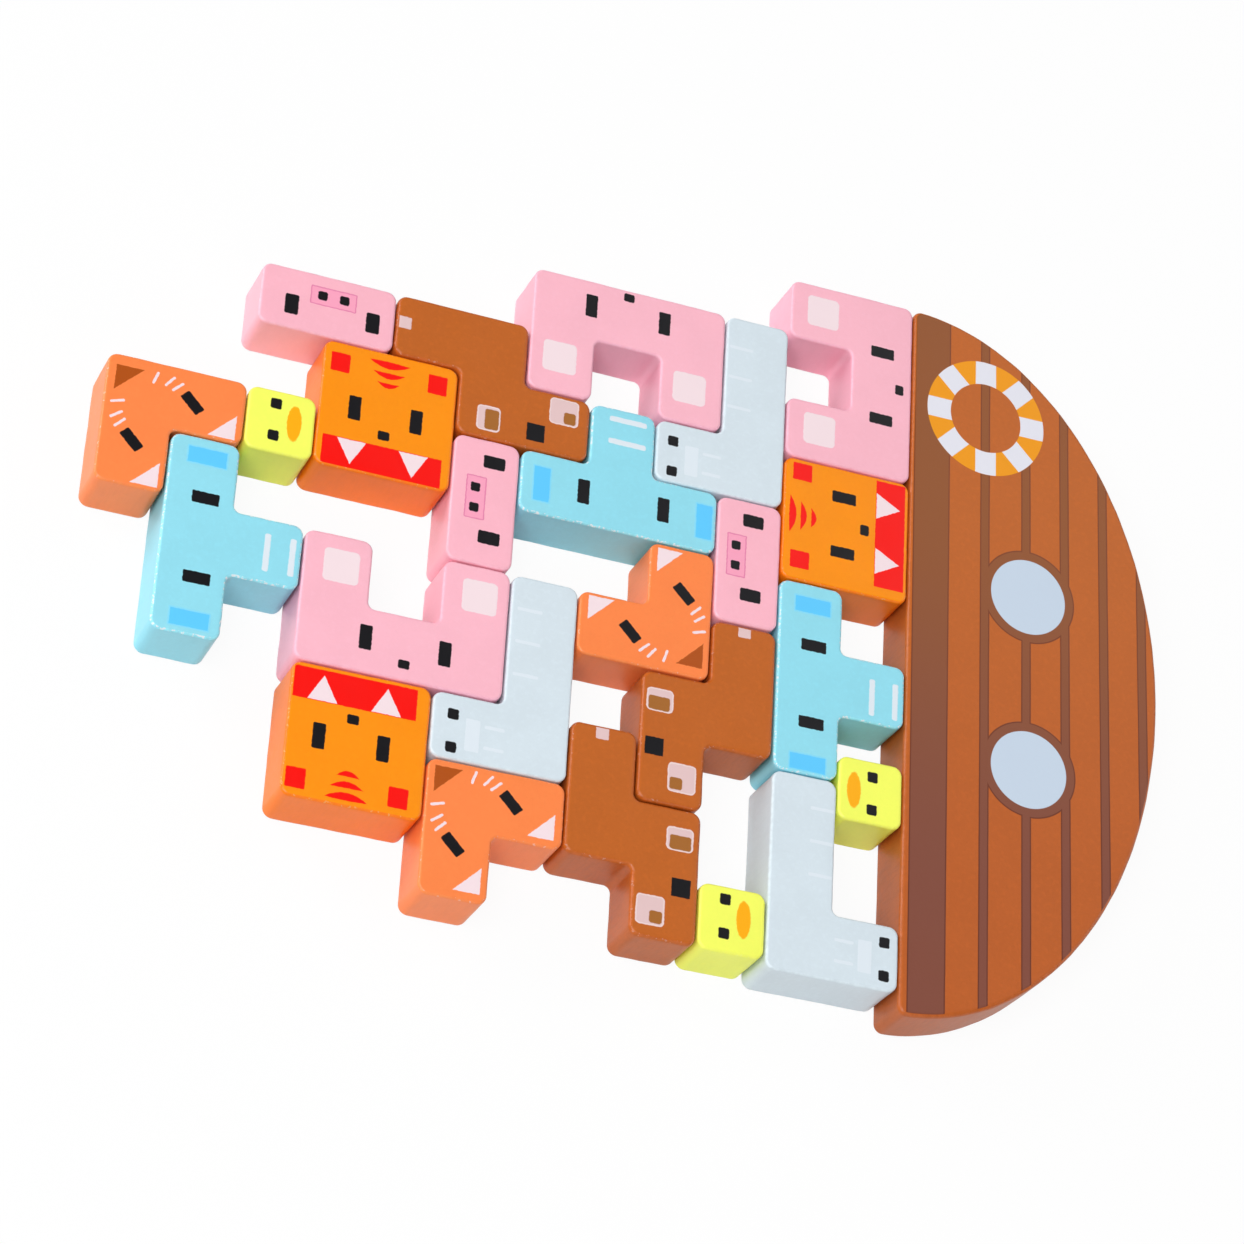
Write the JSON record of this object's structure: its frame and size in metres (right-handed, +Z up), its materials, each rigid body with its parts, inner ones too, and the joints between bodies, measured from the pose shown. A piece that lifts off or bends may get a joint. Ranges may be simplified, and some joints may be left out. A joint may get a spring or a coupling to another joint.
{
  "type": "wooden stacking blocks",
  "caption": "Painted wooden animal blocks in square-cell shapes that nest and stack on the flat deck of a half-ellipse wooden ark, laid out on their backs.",
  "frame": {"origin": "on the floor under the middle of the laid-out set", "axes": "+Z up through the board's thickness, +X from the stack's top towards the ark's hull, +Y along the ark's deck"},
  "size_m": [0.3208, 0.2258, 0.018],
  "materials": {
    "ark_paint": "satin paint over wood, with printed marks",
    "chick_paint": "satin paint over wood, with printed marks",
    "pig_paint": "satin paint over wood, with printed marks",
    "cat_paint": "satin paint over wood, with printed marks",
    "tiger_paint": "satin paint over wood, with printed marks",
    "elephant_paint": "satin paint over wood, with printed marks",
    "zebra_paint": "satin paint over wood, with printed marks",
    "dog_paint": "satin paint over wood, with printed marks",
    "rabbit_paint": "satin paint over wood, with printed marks"
  },
  "bodies": {
    "root": {"ark": "ark_paint", "chick_1": "chick_paint", "chick_2": "chick_paint", "chick_3": "chick_paint", "pig_1": "pig_paint", "pig_2": "pig_paint", "pig_3": "pig_paint", "cat_1": "cat_paint", "cat_2": "cat_paint", "cat_3": "cat_paint", "tiger_1": "tiger_paint", "tiger_2": "tiger_paint", "tiger_3": "tiger_paint", "elephant_1": "elephant_paint", "elephant_2": "elephant_paint", "elephant_3": "elephant_paint", "zebra_1": "zebra_paint", "zebra_2": "zebra_paint", "zebra_3": "zebra_paint", "dog_1": "dog_paint", "dog_2": "dog_paint", "dog_3": "dog_paint", "rabbit_1": "rabbit_paint", "rabbit_2": "rabbit_paint", "rabbit_3": "rabbit_paint"}
  },
  "joints": []
}
